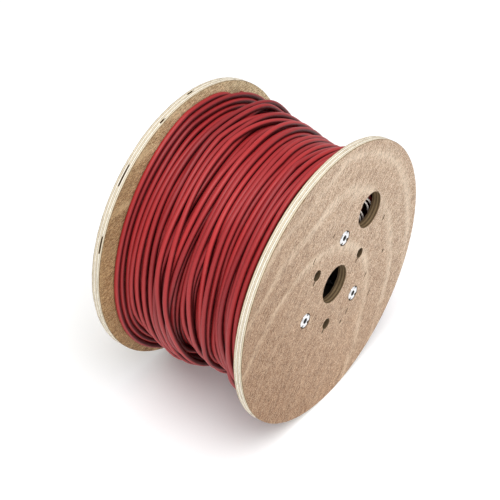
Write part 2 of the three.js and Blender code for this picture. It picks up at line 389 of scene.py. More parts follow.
# the colour of the painted shade on the sides and underside of each turn
SHEATH_PAINTED_SHADE = (0.045, 0.003, 0.004)


def core_material():
    s = Shader("grey_core")
    mottle = s.noise(s.vector(*s.position()), scale=260, detail=3)
    colour = s.mix(mottle, (0.66, 0.60, 0.55), (0.86, 0.80, 0.75))
    s.bump(mottle, 0.15, 0.0003)
    return s.finish(Base_Color=colour, Roughness=0.5)


def metal_material(name, dark, bright, roughness, metallic=1.0):
    s = Shader(name)
    u, v, w = s.position()
    cloud = s.noise(s.vector(u, v, w), scale=420, detail=4)
    scuff = s.noise(s.vector(u, s.times(v, 9), w), scale=700, detail=2)
    colour = s.mix(cloud, dark, bright)
    rough = s.times_add(cloud, 0.25, roughness)
    s.bump(s.math("ADD", cloud, scuff), 0.18, 0.0002)
    return s.finish(Base_Color=colour, Roughness=rough, Metallic=metallic)


def kraft_material(name, dark, pale):
    """Brown board wound in a spiral, with its seams and short paper fibres."""
    s = Shader(name)
    u, v, w = s.position()
    turn = s.math("DIVIDE", s.math("ARCTAN2", v, u), 2 * math.pi)
    seam = s.math("FRACT", s.times_add(w, 1 / BOARD_PITCH, turn))
    edge = s.ramp(seam, [(0.0, 1.0), (0.02, 0.0), (0.98, 0.0), (1.0, 1.0)])
    fibres = s.noise(s.vector(u, v, w), scale=180, detail=5)
    colour = s.mix(fibres, dark, pale)
    colour = s.mix(s.times(edge, 0.6), colour, tuple(0.5 * part for part in dark))
    s.bump(s.math("SUBTRACT", fibres, edge), 0.4, 0.0004)
    return s.finish(Base_Color=colour, Roughness=0.85)


def plain_material(name, colour, roughness):
    return Shader(name).finish(Base_Color=colour, Roughness=roughness)


# ---- plywood flanges ---------------------------------------------------------------------------

FACE_VENEER = 0.0006
GLUE = 0.00030
CORE_PLIES = 5
VENEER, PLY_A, PLY_B, GLUE_LINE, DARK_ALONG, DARK_ACROSS = range(6)
DARKENED = {PLY_A: DARK_ALONG, PLY_B: DARK_ACROSS, GLUE_LINE: GLUE_LINE}


def ply_rows():
    """Depths below one face at which a cut edge has a row of points, and what lies between."""
    core = (FLANGE_THICKNESS - 2 * FACE_VENEER) / CORE_PLIES
    bounds = [0.0, *(FACE_VENEER + core * i for i in range(CORE_PLIES + 1)), FLANGE_THICKNESS]
    depths, plies, kinds = [], [], []
    for ply, (start, end) in enumerate(zip(bounds, bounds[1:])):
        start += GLUE / 2 if ply else 0
        end -= GLUE / 2 if ply <= CORE_PLIES else 0
        steps = 5 if 0 < ply <= CORE_PLIES else 2
        depths += list(np.linspace(start, end, steps))
        plies += [ply] * steps
        face_veneer = ply in (0, CORE_PLIES + 1)
        kinds += [DARK_ALONG if face_veneer else PLY_B if ply % 2 else PLY_A] * (steps - 1) + [GLUE_LINE]
    return np.array(depths), np.array(plies), kinds[:-1]


def cut_edge(rng, columns, chord, raggedness, voids=()):
    """How far each point of a cut edge stands back from the true surface, row by row."""
    depths, plies, kinds = ply_rows()
    last = plies.max()
    back = np.zeros((len(depths), columns))
    for ply in range(last + 1):
        rows = plies == ply
        wave = smooth_noise(rng, (columns,), 0.012 / chord)
        fuzz = smooth_noise(rng, (int(rows.sum()), columns), max(1.0, 0.0015 / chord))
        back[rows] += raggedness * (0.35 * wave + 0.45 * fuzz + 0.5 * rng.uniform(0, 1))
    for face_row, next_row in ((0, 1), (-1, -2)):
        torn = np.clip(smooth_noise(rng, (columns,), 0.0022 / chord) - 1.1, 0, None)
        back[face_row] += 0.0003 + raggedness * 2.2 * torn
        back[next_row] += raggedness * 1.2 * torn
    angle = np.degrees(round_circle(columns))
    for centre, half_length, ply in voids:
        apart = np.abs((angle - centre + 180) % 360 - 180) / half_length
        hollow = 0.0085 * np.clip(1 - apart**4, 0, 1) ** 0.5
        rows = np.flatnonzero(plies == ply)
        inside = np.sin(np.linspace(0, np.pi, len(rows))) ** 0.5
        back[rows] += inside[:, None] * hollow * rng.uniform(0.75, 1.0, (len(rows), columns))
    # painted shade: wherever the edge stands back more than 1.8 mm, as in the voids, its faces take the
    # darkest ply colour
    floors = (back[:-1] > 0.0018) | (back[1:] > 0.0018)
    return depths, back, np.where(floors, DARK_ACROSS, np.array(kinds)[:, None])


def scattered(rng, radius, spacing):
    """Points over a disc on a loose triangular grid."""
    count = int(radius / spacing) + 1
    i, j = np.meshgrid(np.arange(-2 * count, 2 * count), np.arange(-2 * count, 2 * count))
    grid = np.stack([(i + 0.5 * (j % 2)) * spacing, j * spacing * math.sqrt(0.75)], -1).reshape(-1, 2)
    grid = grid[np.hypot(*grid.T) < radius]
    return grid + rng.uniform(-0.22, 0.22, grid.shape) * spacing


def fill_face(rng, outer, holes, spacing, extra=()):
    """Triangles over a flat face between loops. A loop is (first index, (n, 2) points, centre,
    radius). Returns the new inner points and the triangles, numbered from the loops' own points
    with new points from -1 downwards."""
    inner = scattered(rng, outer[3], spacing)
    if len(extra):
        inner = np.concatenate([inner, extra])
    keep = np.hypot(*(inner - outer[2]).T) < outer[3] - 0.55 * spacing
    for _, _, centre, radius in holes:
        keep &= np.hypot(*(inner - centre).T) > radius + 0.45 * spacing
    inner = inner[keep]
    points, names, edges = [], [], []
    for first, loop, _, _ in [outer, *holes]:
        at, n = len(points), len(loop)
        edges += [(at + i, at + (i + 1) % n) for i in range(n)]
        names += [first + i for i in range(n)]
        points += [Vector(point) for point in loop]
    names += [-1 - i for i in range(len(inner))]
    points += [Vector(point) for point in inner]
    found, _, triangles, sources, _, _ = delaunay_2d_cdt(points, edges, [], 0, 1e-9)
    source = [names[group[0]] if group else None for group in sources]
    place = np.array([tuple(point) for point in found])
    triangles = np.array(triangles)
    middle = place[triangles].mean(1)
    keep = np.hypot(*(middle - outer[2]).T) < outer[3]
    for _, loop, centre, radius in holes:
        keep &= ~inside_loop(middle, loop, centre)
    keep &= inside_loop(middle, outer[1], outer[2])
    return inner, [[source[i] for i in triangle] for triangle in triangles[keep]]


def inside_loop(points, loop, centre):
    """Whether points lie inside a loop that is nearly a circle about its centre."""
    centre = np.asarray(centre)
    spoke = loop - centre
    order = np.argsort(np.arctan2(spoke[:, 1], spoke[:, 0]))
    angles = np.arctan2(spoke[order, 1], spoke[order, 0])
    reach = np.hypot(*spoke[order].T)
    apart = points - centre
    limit = np.interp(np.arctan2(apart[:, 1], apart[:, 0]), angles, reach, period=2 * np.pi)
    return np.hypot(*apart.T) < limit


class Flange:
    """Collects the cut edges and the two faces of one plywood disc."""

    def __init__(self, seed, outer_w, inner_w, hollows=()):
        self.rng = np.random.default_rng(seed)
        self.outer_w, self.inner_w = outer_w, inner_w
        self.out = 1 if outer_w > inner_w else -1
        self.points, self.faces, self.kinds = [], [], []
        self.count = 0
        self.loops = {"outer": [], "inner": []}
        self.hollows = hollows

    def add_points(self, points):
        first = self.count
        self.points.append(points)
        self.count += len(points)
        return first

    def add_faces(self, faces, kinds, flip):
        for face, kind in zip(faces, kinds):
            face = [int(i) for i in face]
            self.faces.append(face[::-1] if flip else face)
            self.kinds.append(kind)

    def wall(self, place, radius, columns, inward, raggedness, voids=(), darkest=False):
        """A cut edge right through the board. Inward is True for a hole."""
        chord = 2 * math.pi * radius / columns
        depths, back, kinds = cut_edge(self.rng, columns, chord, raggedness, voids)
        radii = radius + back if inward else radius - back
        heights = self.outer_w - self.out * depths
        first = self.add_points(turned(radii, heights, place))
        faces = ring_faces(len(depths), columns, first)
        flip = inward != (self.out < 0)
        # painted shade: a hole's walls take dark copies of the ply colours; when asked, all of them take
        # the darkest one
        kinds = [DARKENED.get(kind, kind) for kind in kinds.ravel()] if inward else kinds.ravel()
        self.add_faces(faces, [DARK_ACROSS] * len(faces) if darkest else kinds, flip)
        self.keep_loop("outer", first, radii[0], place)
        self.keep_loop("inner", first + (len(depths) - 1) * columns, radii[-1], place)

    def strip(self, radii, heights, place, columns, kinds, flip, outer=None, inner=None):
        """A turned surface whose first or last row is an edge of one of the faces."""
        radii = np.array(radii)[:, None] * np.ones(columns)
        radii += smooth_noise(self.rng, radii.shape, 3) * 0.00006
        first = self.add_points(turned(radii, heights, place))
        self.add_faces(ring_faces(len(radii), columns, first), np.repeat(kinds, columns), flip)
        if outer:
            self.keep_loop(outer, first, radii[0], place)
        if inner:
            self.keep_loop(inner, first + (len(radii) - 1) * columns, radii[-1], place)

    def keep_loop(self, face, first, radii, place):
        angle = round_circle(len(radii))
        loop = np.stack([place[0] + radii * np.cos(angle), place[1] + radii * np.sin(angle)], -1)
        self.loops[face].append((first, loop, np.array(place[:2]), float(radii.mean())))

    def face(self, name, outer, holes, spacing, flip, height, extra=()):
        inner, triangles = fill_face(self.rng, outer, holes, spacing, extra)
        dent = self.surface_height(inner)
        w = height + (self.out if name == "outer" else -self.out) * dent
        first = self.add_points(to_world(inner[:, 0], inner[:, 1], w))
        torn = set(first + np.flatnonzero(dent < -0.0003))
        named = [[i if i >= 0 else first - 1 - i for i in triangle] for triangle in triangles]
        self.add_faces(named, [DARK_ACROSS if set(face) & torn else VENEER for face in named], flip)

    def surface_height(self, points):
        """Slight waves over the veneer, and the short gouges in it."""
        u, v = points.T / FLANGE_RADIUS
        wave = np.sin(5.1 * u + 3.3 * v + 1.0) + 0.7 * np.sin(9.7 * v - 6.1 * u + 2.0)
        height = 0.00005 * wave
        for cu, cv, length, degrees in self.hollows:
            c, s = math.cos(math.radians(degrees)), math.sin(math.radians(degrees))
            du, dv = u - cu, v - cv
            along, across = (du * c + dv * s) / length, (dv * c - du * s) / 0.006
            height = height - 0.0007 * np.exp(-(along**4) - across**2)
        return height

    def gouge_points(self):
        """Extra points in and around each gouge, so that its shape holds."""
        found = []
        for cu, cv, length, degrees in self.hollows:
            c, s = math.cos(math.radians(degrees)), math.sin(math.radians(degrees))
            for along in np.linspace(-1.5, 1.5, 9) * length:
                for across in np.linspace(-0.011, 0.011, 9):
                    found.append((cu + along * c - across * s, cv + along * s + across * c))
        return np.array(found).reshape(-1, 2) * FLANGE_RADIUS

    def build(self, name, materials):
        edge, *holes = self.loops["outer"]
        across = self.out > 0
        self.face("outer", edge, holes, 0.0042, across, self.outer_w, self.gouge_points())
        edge, _, groove_in, *_ = self.loops["inner"]
        beyond = [loop for loop in self.loops["inner"][1:] if self.past_groove(loop)]
        within = [loop for loop in self.loops["inner"][3:] if not self.past_groove(loop)]
        self.face("inner", edge, beyond, 0.0055, not across, self.inner_w)
        self.face("inner", groove_in, within, 0.0055, not across, self.inner_w)
        points = np.concatenate(self.points)
        return make_piece(name, points, self.faces, materials, name, self.kinds, sharp=32)

    def past_groove(self, loop):
        return loop is self.loops["inner"][1] or np.hypot(*loop[2]) > GROOVE[1]


def tube_groove(flange):
    """The ring-shaped groove in the inner face that the barrel tube is seated in."""
    inner, outer, depth = GROOVE
    floor = flange.inner_w + flange.out * depth
    heights = [flange.inner_w, floor, floor, flange.inner_w]
    radii = [outer, outer, inner, inner]
    flange.strip(radii, heights, (0, 0), 240, [PLY_A, GLUE_LINE, PLY_B], flange.out > 0, "inner", "inner")


def drum_holes(flange):
    flange.wall((0, 0), BORE_RADIUS, 220, True, 0.00022)
    for u, v, radius in DRIVE_HOLES:
        # painted shade: the drive holes' walls take the darkest ply colour throughout
        flange.wall((u, v), radius, 84, True, 0.00020, darkest=True)


def cut_rim(flange, voids):
    flange.wall((0, 0), FLANGE_RADIUS, 760, False, 0.00016, voids)


def t_nut_recess(flange, place):
    """The disc's pressed seat in the face, then the hole for the threaded barrel."""
    face, back = flange.outer_w, flange.inner_w
    radii = [T_NUT_RADIUS + 0.0010, T_NUT_RADIUS + 0.0007, T_NUT_RADIUS + 0.0006, 0.0043, 0.0041, 0.0041]
    heights = [face, face - 0.0003, face - 0.0019, face - 0.0019, face - 0.0023, back]
    # painted shade: the seat's and the hole's walls take the dark ply colours
    kinds = [DARK_ACROSS, DARK_ACROSS, DARK_ACROSS, DARK_ACROSS, DARK_ALONG]
    flange.strip(radii, heights, place, 72, kinds, True, "outer", "inner")


def bolt_hole(flange, place):
    radii = [0.0034, 0.0033, 0.0033, 0.0034]
    heights = [flange.outer_w, flange.outer_w + 0.0006, flange.inner_w - 0.0006, flange.inner_w]
    flange.strip(radii, heights, place, 48, [PLY_A, PLY_B, PLY_A], False, "outer", "inner")


# Gouges are (u, v, length) in flange radii, and the angle that they run at in degrees.
# Voids in the rim's plies are (place, half length) in degrees, and the ply counted from outside.
GOUGES = [
    (0.570, 0.190, 0.018, 52),
    (-0.245, 0.360, 0.020, 50),
    (0.590, -0.110, 0.014, 48),
    (0.440, -0.390, 0.021, 55),
    (0.095, -0.400, 0.013, 50),
    (0.165, -0.355, 0.020, 54),
    (0.380, -0.180, 0.016, 50),
    (-0.030, 0.425, 0.013, 46),
]
GOUGES += [(u / FLANGE_RADIUS - 0.036, v / FLANGE_RADIUS - 0.043, 0.016, 52) for u, v, _ in DRIVE_HOLES]
NEAR_VOIDS = [(224, 1.6, 3)]
FAR_VOIDS = [(88, 1.6, 2), (106, 1.2, 4), (131, 4.2, 3), (158, 3.2, 4), (20, 2.5, 2), (290, 3.0, 4)]


def make_flanges(near_materials, far_materials):
    near = Flange(11, OUTER_FACE, HALF_WIDTH, GOUGES)
    cut_rim(near, NEAR_VOIDS)
    tube_groove(near)
    drum_holes(near)
    near.wall(START_HOLE[:2], START_HOLE[2], 240, True, 0.00026)
    for place in BOLT_PLACES:
        t_nut_recess(near, place)
    near.build("flange_near", near_materials)

    far = Flange(12, -OUTER_FACE, -HALF_WIDTH)
    cut_rim(far, FAR_VOIDS)
    tube_groove(far)
    drum_holes(far)
    for place in BOLT_PLACES:
        bolt_hole(far, place)
    far.build("flange_far", far_materials)


# ---- winding -----------------------------------------------------------------------------------
# Each turn is laid on the surface that the turns before it make. The inner layers are neat; the
# outer ones are laid in bundles that wander, slip into the valleys and cross each other.

STEPS = 360
HIDDEN_TURNS = 156
START_ANGLE = 95
CELL = 0.0005
FACE_GAP = 0.0004
JOINED = np.exp(-0.5 * (np.arange(STEPS) / 12) ** 2)  # fades out the step from the turn before


def kernel(reach):
    side = int(3 * reach)
    weights = np.exp(-0.5 * (np.arange(-side, side + 1) / reach) ** 2)
    return weights / weights.sum(), side


def smoothed(values, reach, straight):
    weights, side = kernel(reach)
    if straight:
        before = 2 * values[0] - values[1 : side + 1][::-1]
        after = 2 * values[-1] - values[-side - 1 : -1][::-1]
    else:
        before, after = np.full(side, values[0]), np.full(side, values[-1])
    return np.convolve(np.concatenate([before, values, after]), weights, "valid")


class Surface:
    """Height of the winding's surface, on a grid of angle and width."""

    def __init__(self, half_width, radius):
        self.half = CABLE_RADIUS
        self.widths = np.arange(-half_width, half_width + 1e-9, CELL)
        self.heights = np.full((STEPS, len(self.widths)), radius)
        reach = int(self.half / CELL)
        self.offsets = np.arange(-reach, reach + 1) * CELL
        self.cap = np.sqrt(np.maximum(self.half**2 - self.offsets**2, 0))

    def contact(self, widths):
        """The radius at which a cable at these widths touches the surface: (steps, k) in and out."""
        place = (widths[..., None] + self.offsets - self.widths[0]) / CELL
        cell = np.clip(np.floor(place).astype(int), 0, len(self.widths) - 2)
        part = np.clip(place - cell, 0, 1)
        step = np.arange(STEPS)[:, None, None]
        below = self.heights[step, cell] * (1 - part) + self.heights[step, cell + 1] * part
        return (below + self.cap).max(-1)

    def lean(self, widths):
        """How much higher the winding stands on the near side of a turn than on its far side."""
        total = np.cumsum(np.pad(self.heights, ((0, 0), (1, 0))), axis=1)
        middle = ((widths - self.widths[0]) / CELL).astype(int)
        low = np.clip(middle - LEAN_REACH, 0, len(self.widths) - LEAN_LEAST)
        high = np.clip(middle + LEAN_REACH, LEAN_LEAST, len(self.widths))
        middle = np.clip(middle, low + 1, high - 1)
        low_sum, middle_sum, high_sum = (total[np.arange(STEPS), i] for i in (low, middle, high))
        return (high_sum - middle_sum) / (high - middle) - (middle_sum - low_sum) / (middle - low)

    def lay(self, widths, radii):
        apart = self.widths[None, :] - widths[:, None]
        top = radii[:, None] + np.sqrt(np.maximum(self.half**2 - apart**2, 0))
        laid = np.maximum(self.heights, top)
        self.heights = np.where(np.abs(apart) < self.half, laid, self.heights)


def pocket(degrees):
    """1 behind the start hole, where the turns stand back from the near flange, and 0 elsewhere."""
    degrees = degrees % 360
    return np.clip((degrees - 1) / 8, 0, 1) * np.clip((96 - degrees) / 12, 0, 1)


WINDING_SEED = 3
NEAT_LAYERS, NEAT_LANES = 6, 24
LOOSE_LAYERS, LOOSE_LANES = 5, 26
FAR_REST = 0.001  # how far from the far flange a loose layer turns back
BOW = 0.005  # how far the loose turns bow out on one side
LEVELLING = 0.8  # how strongly a loose turn moves to where the winding is low
PROBE = 0.0010  # how far to each side a turn feels for the slope under it
SLIDE = 0.0007  # how far it slides on a slope of one, each time
HOLD = 0.12  # how strongly it's drawn back to its guide line, each time
LEAN_REACH, LEAN_LEAST = 50, 10  # cells to each side whose heights are compared
CHANGE_CHANCE = 0.38  # how often the way that the turns wander changes
POCKET_DEPTH = 0.016
SWAY = (0.0065, 0.0042, 0.0020)


def sway(wander, after, share, theta):
    """How far a turn strays from its lane, changing smoothly from one turn's way to the next's."""
    total = np.zeros(STEPS)
    for i, size in enumerate(SWAY):
        sine = (1 - share) * wander[i, 0] + share * after[i, 0]
        cosine = (1 - share) * wander[i, 1] + share * after[i, 1]
        total += size * (sine * np.sin((i + 1) * theta) + cosine * (np.cos((i + 1) * theta) - 1))
    return total


def settle(surface, guide, lowest, highest, loose):
    """The turn slides downhill from its guide line, as far as its own stiffness allows."""
    path = np.clip(guide, lowest, highest)
    for _ in range(12):
        near = np.clip(path[:, None] + np.array([-PROBE, 0, PROBE]), lowest, -lowest)
        touch = surface.contact(near)
        slope = np.clip((touch[:, 2] - touch[:, 0]) / (2 * PROBE), -1, 1)
        path = path - slope * SLIDE * (0.3 + 0.4 * loose) - (path - guide) * HOLD
        path = np.clip(smoothed(path, 9, True), lowest, highest)
    return path


def pulled_tight(touch, start):
    """The radius of a taut turn over the places that it touches."""
    radii = touch.copy()
    for _ in range(6):
        radii = np.maximum(smoothed(radii, 6, False), touch)
    return smoothed(radii + (max(start, touch[0]) - radii[0]) * JOINED, 4, True)


def lane_width(lane, lanes, limit, far_rest):
    """Where a lane lies: lane 0 is beside the near flange, and the last one beside the far flange."""
    return limit - (2 * limit - far_rest) * lane / lanes


def wind():
    """All turns from the barrel outwards, as (widths, radii) for each turn. An odd number of
    layers leaves the cable's outer end beside the far flange."""
    rng = np.random.default_rng(WINDING_SEED)
    surface = Surface(HALF_WIDTH - FACE_GAP, BARREL_RADIUS + 0.0002)
    limit = HALF_WIDTH - FACE_GAP - surface.half
    degrees = START_ANGLE + np.arange(STEPS) * 360 / STEPS
    theta = np.radians(degrees - START_ANGLE)
    share = np.arange(STEPS) / STEPS
    bow = BOW * np.exp(-0.5 * (((degrees - 132 + 180) % 360 - 180) / 42) ** 2)
    wander = rng.normal(size=(3, 2)) * 0.8
    at, last_radius = limit, BARREL_RADIUS + surface.half
    turns = []
    for layer in range(NEAT_LAYERS + LOOSE_LAYERS):
        loose = min(1.0, max(0, layer - NEAT_LAYERS + 1) / 2)
        lanes = LOOSE_LANES if loose else NEAT_LANES
        if layer == NEAT_LAYERS:
            open_place = pocket(degrees)[:, None] * (surface.widths > limit - 0.020) > 0
            surface.heights = np.maximum(surface.heights, open_place * surface.heights.mean())
        for k in range(lanes):
            order = (k, k + 1) if layer % 2 == 0 else (lanes - k, lanes - k - 1)
            first, last = (lane_width(lane, lanes, limit, FAR_REST * loose) for lane in order)
            after = wander
            if rng.random() < CHANGE_CHANCE:
                after = 0.2 * wander + 0.8 * rng.normal(size=(3, 2))
            guide = first + (last - first) * share
            room = 1 - (guide / limit) ** 2
            stray = sway(wander, after, share, theta)
            guide = guide + loose * (stray * np.minimum(1, 1.6 * room) + bow * room)
            if loose:
                guide = guide - LEVELLING * smoothed(surface.lean(guide), 12, True)
            back = POCKET_DEPTH * pocket(degrees) * (layer < NEAT_LAYERS) * min(1, len(turns))
            guide = -limit + (guide + limit) * (1 - back / (2 * limit))
            path = settle(surface, guide, -limit, limit - back, loose)
            path = np.clip(path + (at - path[0]) * JOINED, -limit, limit)
            radii = pulled_tight(surface.contact(path[:, None])[:, 0], last_radius)
            surface.lay(path, radii)
            turns.append((path, radii))
            at, last_radius, wander = 2 * path[-1] - path[-2], radii[-1], after
    return turns, surface


def frames_along(centres, reference):
    """Two directions across a line at each of its points, the first closest to the reference."""
    tangent = np.gradient(centres, axis=0)
    tangent /= np.linalg.norm(tangent, axis=1, keepdims=True)
    first = reference - (reference * tangent).sum(1, keepdims=True) * tangent
    first /= np.linalg.norm(first, axis=1, keepdims=True)
    return first, np.cross(tangent, first)


def tube(name, centres, reference, radius, sides, materials, node, slot, start=0.0, ends=(False, False)):
    """A round cable along a line, with a map of its length and of the way round it."""
    first, second = frames_along(centres, reference)
    around = round_circle(sides)
    radius = np.broadcast_to(radius, len(centres))[:, None, None]
    ring = np.cos(around)[None, :, None] * first[:, None] + np.sin(around)[None, :, None] * second[:, None]
    points = (centres[:, None] + radius * ring).reshape(-1, 3)
    faces = ring_faces(len(centres), sides).tolist()
    if ends[0]:
        faces.append(list(range(sides))[::-1])
    if ends[1]:
        faces.append(list(range(len(points) - sides, len(points))))
    kinds = [0] * len(faces)
    piece = make_piece(name, points, faces, materials, node, kinds, sharp=50)
    along = np.concatenate([[0], np.cumsum(np.linalg.norm(np.diff(centres, axis=0), axis=1))])
    map_along(piece, start + along, sides)
    return piece


def map_along(piece, along, sides):
    """A map whose u is the length along a cable, and whose v runs once round it from outside."""
    loops = np.zeros(len(piece.data.loops), np.int32)
    piece.data.loops.foreach_get("vertex_index", loops)
    column = loops % sides
    quads = (len(along) - 1) * sides
    last = np.repeat(np.arange(quads) % sides == sides - 1, 4)
    column[: 4 * quads][last & (column[: 4 * quads] == 0)] = sides
    layer = piece.data.uv_layers.new(name="along")
    layer.data.foreach_set("uv", np.stack([along[loops // sides], column / sides], -1).ravel())


def curve_points(angles, radii, widths):
    u, v = radii * np.cos(angles), radii * np.sin(angles)
    outward = np.stack([np.cos(angles), np.zeros_like(angles), np.sin(angles)], -1)
    return to_world(u, v, widths), outward


def last_part_turn(surface, width, radius):
    """The stretch along the far flange that leads to the cable's outer end."""
    lowest = -HALF_WIDTH + FACE_GAP + surface.half
    path = settle(surface, np.full(STEPS, lowest), lowest, -lowest, 1.0)
    path = path + (width - path[0]) * JOINED
    return path, pulled_tight(surface.contact(path[:, None])[:, 0], radius)


def make_winding(sheath):
    """The turns as a few lengths of one cable: plain within, and fine where they show. Returns
    the (angles, radii, widths) that the cable's outer end follows."""
    turns, surface = wind()
    path, radii = last_part_turn(surface, turns[-1][0][-1], turns[-1][1][-1])
    end_angles = np.arange(OUTER_END_FROM, OUTER_END_TO + 1)
    last = (end_angles - START_ANGLE) % 360 * STEPS // 360
    outer_end = (np.radians(end_angles), radii[last], path[last])
    turns.append((path[: last[0] + 1], radii[: last[0] + 1]))
    widths = np.concatenate([path for path, _ in turns])
    radii = np.concatenate([radii for _, radii in turns])
    angles = np.radians(START_ANGLE + np.arange(len(widths)) * 360 / STEPS)
    centres, outward = curve_points(angles, radii, widths)
    hidden = HIDDEN_TURNS * STEPS
    shown = [int(part) for part in np.linspace(hidden, len(widths) - 1, 4) // 2 * 2]
    pieces = [(0, hidden, 5, 8), *((a, b, 2, 12) for a, b in zip(shown, shown[1:]))]
    start = 0.0
    for i, (first, last, step, sides) in enumerate(pieces):
        taken = np.arange(first, last + 1, step)
        line, name = centres[taken], f"winding_{i + 1}"
        nodes = ["cable_winding", "cable_winding_near"]
        look = ([sheath], nodes, "cable_sheath", start, (True, True))
        tube(name, line, outward[taken], CABLE_RADIUS, sides, *look)
        start += float(np.linalg.norm(np.diff(line, axis=0), axis=1).sum())
    return outer_end


# ---- the cable's two ends ------------------------------------------------------------------------

END_DEPTH = HALF_WIDTH - CABLE_RADIUS - 0.001
CORE_RADIUS = 0.0012
CORE_DEPTH = HALF_WIDTH - CORE_RADIUS - 0.0015
OUTER_END_FROM, OUTER_END_TO = 24, 58
STAPLE_ANGLE = 40
STAPLE_WIRE = 0.0010
POCKET_RADIUS = 0.103
CORE_LIFT = 0.0014
CORE_SPREADS = [
    (-0.0014, -0.012, -0.015),
    (-0.0014, -0.007, -0.008),
    (0.0014, 0.006, 0.004),
    (0.0014, 0.011, 0.013),
]


def eased(points, count):
    """A smooth line through a few (radius, degrees, depth) points, as three arrays."""
    points = np.array(points, float)
    padded = np.concatenate([2 * points[:1] - points[1:2], points, 2 * points[-1:] - points[-2:-1]])
    place = np.linspace(0, len(points) - 1 - 1e-9, count)
    first = place.astype(int)
    t = (place - first)[:, None]
    p0, p1, p2, p3 = (padded[first + i] for i in range(4))
    line = p1 + 0.5 * t * (p2 - p0 + t * (2 * p0 - 5 * p1 + 4 * p2 - p3 + t * (3 * (p1 - p2) + p3 - p0)))
    return line[:, 0], np.radians(line[:, 1]), line[:, 2]


def end_tube(name, route, count, radius, sides, materials, node, slot, ends):
    radii, angles, depths = eased(route, count)
    centres, outward = curve_points(angles, radii, depths)
    return tube(name, centres, outward, radius, sides, materials, node, slot, 0.0, ends)


def rounded_ends(count, radius, share=0.3):
    """A radius that closes in slightly over the first and last steps."""
    taper = np.ones(count)
    taper[0] = taper[-1] = 1 - share
    taper[1] = taper[-2] = 1 - share / 3
    return radius * taper


def make_inner_end(sheath, core, copper):
    """The sheathed end tucked behind the start hole, and its four bared cores."""
    first_radius = BARREL_RADIUS + CABLE_RADIUS
    route = [
        (first_radius, START_ANGLE, HALF_WIDTH - FACE_GAP - CABLE_RADIUS),
        (first_radius + 0.006, 86, END_DEPTH),
        (0.0940, 75, END_DEPTH),
        (0.0980, 70, END_DEPTH),
        (0.1010, 65, END_DEPTH),
        (POCKET_RADIUS, 60, END_DEPTH),
    ]
    radius = rounded_ends(60, CABLE_RADIUS, 0.08)
    end_tube("inner_end", route, 60, radius, 20, [sheath], "cable_inner_end", "cable_sheath", (True, True))
    for i, (start, middle, end) in enumerate(CORE_SPREADS):
        lift = -CORE_LIFT if i % 2 == 0 else CORE_LIFT
        route = [
            (POCKET_RADIUS + start, 60.5, END_DEPTH + lift),
            (POCKET_RADIUS + start, 58.6, END_DEPTH + lift),
            (POCKET_RADIUS + (start + middle) / 2, 50, END_DEPTH + 0.7 * lift),
            (POCKET_RADIUS + middle, 38, CORE_DEPTH),
            (POCKET_RADIUS + end, 22, CORE_DEPTH - 0.003),
        ]
        node = f"inner_end_core_{i + 1}"
        radius = rounded_ends(64, CORE_RADIUS, 0.15)
        look = ([core, copper], node, "core_insulation", (True, True))
        piece = end_tube(node + "_bared", route, 64, radius, 14, *look)
        piece.data.polygons[len(piece.data.polygons) - 1].material_index = 1


def make_outer_end(route, sheath, copper):
    """The cut end held to the far flange: the sheath, with the four cores flush inside it."""
    count = len(route[0])
    centres, outward = curve_points(*route)
    first, second = frames_along(centres, outward)
    forward = np.cross(first[-1], second[-1])
    forward *= math.copysign(1, float(forward @ (centres[-1] - centres[-2])))
    line, sides = list(centres), 24
    radii = [CABLE_RADIUS] * count
    for back, radius in ((0.0, 0.97), (0.0, 0.80), (0.0012, 0.78), (0.0012, 0.05)):
        line.append(centres[-1] + forward * (0.0004 - back))
        radii.append(CABLE_RADIUS * radius)
    around = round_circle(sides)
    cos, sin = np.cos(around)[:, None], np.sin(around)[:, None]
    rows = [
        c + r * (cos * first[min(i, count - 1)] + sin * second[min(i, count - 1)])
        for i, (c, r) in enumerate(zip(line, radii))
    ]
    faces = ring_faces(len(rows), sides).tolist()
    faces.append(list(range((len(rows) - 1) * sides, len(rows) * sides)))
    faces.append(list(range(sides))[::-1])
    kinds = [0] * ((len(rows) - 3) * sides) + [1] * (2 * sides + 1) + [0]
    points = np.concatenate(rows)
    dark = plain_material("end_shadow", (0.030, 0.008, 0.008), 0.8)
    piece = make_piece("outer_end", points, faces, [sheath, dark], "cable_outer_end", kinds)
    map_along(piece, np.arange(len(rows)) * 0.0028, sides)
    for i in range(4):
        turn = math.radians(45 + 90 * i)
        middle = centres[-1] + 0.0015 * (math.cos(turn) * first[-1] + math.sin(turn) * second[-1])
        ends = np.stack([middle - forward * (0.0010 - 0.0002 * k) for k in range(6)])
        reference = np.repeat(first[-1][None], 6, axis=0)
        radius = rounded_ends(6, CORE_RADIUS * 0.95, 0.1)
        look = ([dark, copper], "cable_outer_end", "core_insulation", 0.0, (True, True))
        piece = tube(f"outer_end_core_{i + 1}", ends, reference, radius, 14, *look)
        piece.data.polygons[len(piece.data.polygons) - 1].material_index = 1


